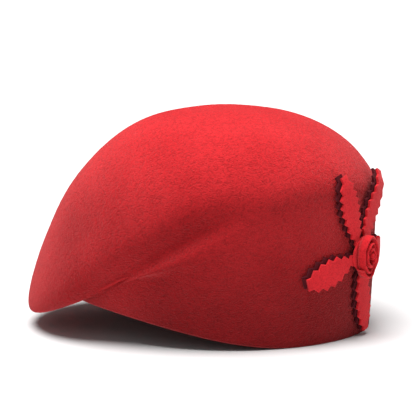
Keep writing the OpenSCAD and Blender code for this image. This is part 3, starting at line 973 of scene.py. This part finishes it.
def wall_disc(width, low, high, name, node, material):
    """A cut disc that follows the wall between the heights low and high over the felt."""
    turns = [360 * j / DISC_SLICES for j in range(DISC_SLICES)]
    reach = np.linspace(0, width / 2, DISC_RINGS + 1)[1:]
    laid = [frames_on(path_on(turn, width / 2), reach) for turn in turns]
    rows = []
    for height, soft in ((low, DISC_SOFT), (high, -DISC_SOFT)):
        lifts = np.full(DISC_RINGS, height)
        lifts[-1] += soft
        side = [np.array([point[k] + out[k] * lifts[k] for point, out, _, _ in laid])
                for k in range(DISC_RINGS)]
        rows += side if height == low else side[::-1]
    faces = grid_faces(len(rows), DISC_SLICES)
    last = (len(rows) - 1) * DISC_SLICES
    low_middle, high_middle = len(rows) * DISC_SLICES, len(rows) * DISC_SLICES + 1
    for j in range(DISC_SLICES):
        k = (j + 1) % DISC_SLICES
        faces.append((k, j, low_middle))
        faces.append((last + j, last + k, high_middle))
    points = np.concatenate(rows + [[flower_middle + flower_out * low,
                                     flower_middle + flower_out * high]])
    piece = make_piece(name, points, faces, material, [node])
    carry(piece, "nap", np.full(len(points), 0.5))
    return piece


disc = wall_disc(DISC_WIDE, FLOWER_TOP, FLOWER_TOP + DISC_THICK, "flower_disc_felt", "flower_disc",
                 PETAL_FELT)
print("disc", tuple(round(x * 1000, 1) for x in disc.dimensions), "mm")

# %% The rolls
ROSETTE_WIDE, SQUASH, ROSETTE_UP, STRIP = 31, 0.64, 6.8, 1.9
ROLL_PITCH = STRIP / SQUASH + 0.6
INNER_RISE, BUD_RISE = 1, 1.6
ROLL_STEPS = 64                      # cross-sections to a turn
OUTER_R = ROSETTE_WIDE / 2 - STRIP / 2
SPLIT_R = OUTER_R - 1.6 * ROLL_PITCH
BUD_R = 1.2 * STRIP


def strip_profile():
    """The strip's cross-section: across it, share of the height, drop from the rounded top."""
    half = STRIP / 2
    profile = [(-half, 0.1, 0), (-half, 0.5, 0), (-half * 1.02, 0.8, 0)]
    for k in range(9):
        turn = math.pi * (1 - k / 8)
        profile.append((half * math.cos(turn), 1.0, half * (math.sin(turn) - 1)))
    return profile + [(half * 1.02, 0.8, 0), (half, 0.5, 0), (half, 0.1, 0)]


def rolled_strip(r_from, r_to, turns, start, height, seed, name, node):
    """A strip on edge, swept along a spiral from r_from to r_to."""
    steps, profile = int(turns * ROLL_STEPS), strip_profile()
    rows = []
    for i in range(steps + 1):
        t = i / steps
        turn = math.radians(start) + 2 * math.pi * turns * t
        wander = 0.35 * math.sin(3.1 * turn + seed) + 0.2 * math.sin(7.3 * turn + 2 * seed) - 0.4
        end = min(1, 6 * min(t, 1 - t) + 0.35)
        r = r_from + (r_to - r_from) * t + 0.12 * math.sin(5.2 * turn + seed)
        row = []
        for across, up, drop in profile:
            reach = r + across * end
            top = height + wander if up > 0.4 else height
            row.append((reach * SQUASH * math.cos(turn), reach * math.sin(turn), up * top + drop * end))
        rows.append(np.array(row))
    columns = len(profile)
    points = np.concatenate(rows)
    points = points + 0.06 * np.stack([ripple(points, 1.6, seed + s) for s in (1, 2, 4)], axis=-1)
    faces = [face[::-1] for face in grid_faces(steps + 1, columns)]
    faces.append(tuple(range(columns))[::-1])
    faces.append(tuple(steps * columns + k for k in range(columns)))
    piece = make_piece(name, points @ to_hat.T + rosette_base, faces, PETAL_FELT, [node])
    carry(piece, "nap", np.full(len(points), 0.9))
    return piece


outer_roll = rolled_strip(OUTER_R, SPLIT_R + ROLL_PITCH * 0.05, 1.55, 215, ROSETTE_UP, 1,
                          "rosette_outer_roll", "rosette_outer")
inner_roll = rolled_strip(SPLIT_R - ROLL_PITCH * 0.1, BUD_R + STRIP, 1.2, 80,
                          ROSETTE_UP + INNER_RISE, 2, "rosette_inner_roll", "rosette_inner")
for roll in (outer_roll, inner_roll):
    print(roll.name, round(max(roll.dimensions) * 1000, 1), "mm across")

# %% The bud
BUD_SIDES = 40
# share of the height, share of the bud's radius
BUD_SHAPE = [(0.1, 0.9), (0.5, 1.0), (0.75, 1.0), (0.9, 0.92), (0.97, 0.72), (1.0, 0.42), (0.96, 0.2)]


def rosette_bud():
    height = ROSETTE_UP + BUD_RISE
    turn = np.linspace(0, 2 * math.pi, BUD_SIDES, endpoint=False)
    rows = []
    for up, reach in BUD_SHAPE:
        r = BUD_R * reach * (1 + 0.05 * np.sin(3 * turn + 2 * up))
        rows.append(np.stack([SQUASH * r * np.cos(turn), r * np.sin(turn),
                              np.full(BUD_SIDES, up * height)], axis=-1))
    points = np.concatenate(rows + [[[0, 0, 0.1], [0, 0, height * 0.93]]])
    faces = grid_faces(len(rows), BUD_SIDES)
    last = (len(rows) - 1) * BUD_SIDES
    for j in range(BUD_SIDES):
        k = (j + 1) % BUD_SIDES
        faces.append((k, j, len(points) - 2))
        faces.append((last + j, last + k, len(points) - 1))
    piece = make_piece("rosette_bud_roll", points @ to_hat.T + rosette_base, faces, PETAL_FELT,
                       ["rosette_bud"])
    carry(piece, "nap", np.full(len(points), 0.9))
    return piece


bud = rosette_bud()
print("bud", round(bud.dimensions[2] * 1000, 1), "mm")

# %% [markdown]
# ## Backing inside the crown
# A stiff felt disc inside the crown spreads the pull of the thread, and a star of five
# stitches holds disc, felt and flower together. Both could be flat, since nobody sees them
# when the hat is worn, but a flat disc would cut into the curved wall, so both follow it.

# %% Backing disc and stitch star
BACKING_WIDE, BACKING_THICK, BACKING_LOW = 32, 1.2, FELT + 0.45
STAR_POINTS = 5
STAR_FROM, STAR_TO = 0.12, 0.32      # where each stitch starts and ends, as shares of the disc
backing = wall_disc(BACKING_WIDE, -BACKING_LOW - BACKING_THICK, -BACKING_LOW, "flower_backing_felt",
                    "flower_backing", BACKING_FELT)


def stitch_star():
    parts = []
    for i in range(STAR_POINTS):
        path = path_on(180 + (i + 0.5) * 360 / STAR_POINTS, BACKING_WIDE / 2)
        far = np.linspace(BACKING_WIDE * STAR_FROM, BACKING_WIDE * STAR_TO, STITCH_POINTS)
        point, out, _, _ = frames_on(path, far)
        depth = BACKING_LOW + BACKING_THICK + THREAD_OFF + stitch_lift()
        parts.append(thread_tube(point - out * depth[:, None], THREAD_WIDE / 2))
    points, faces = join_parts(parts)
    piece = make_piece("flower_stitch_star", points, faces, THREAD, ["flower_stitches"])
    run = np.linspace(0, BACKING_WIDE * (STAR_TO - STAR_FROM) / 1000, STITCH_POINTS)
    carry(piece, "run", np.tile(np.repeat(run, THREAD_SIDES), STAR_POINTS))
    return piece


star = stitch_star()
print("backing", tuple(round(x * 1000, 1) for x in backing.dimensions), "mm, star of",
      STAR_POINTS, "stitches", round(max(star.dimensions) * 1000, 1), "mm across")
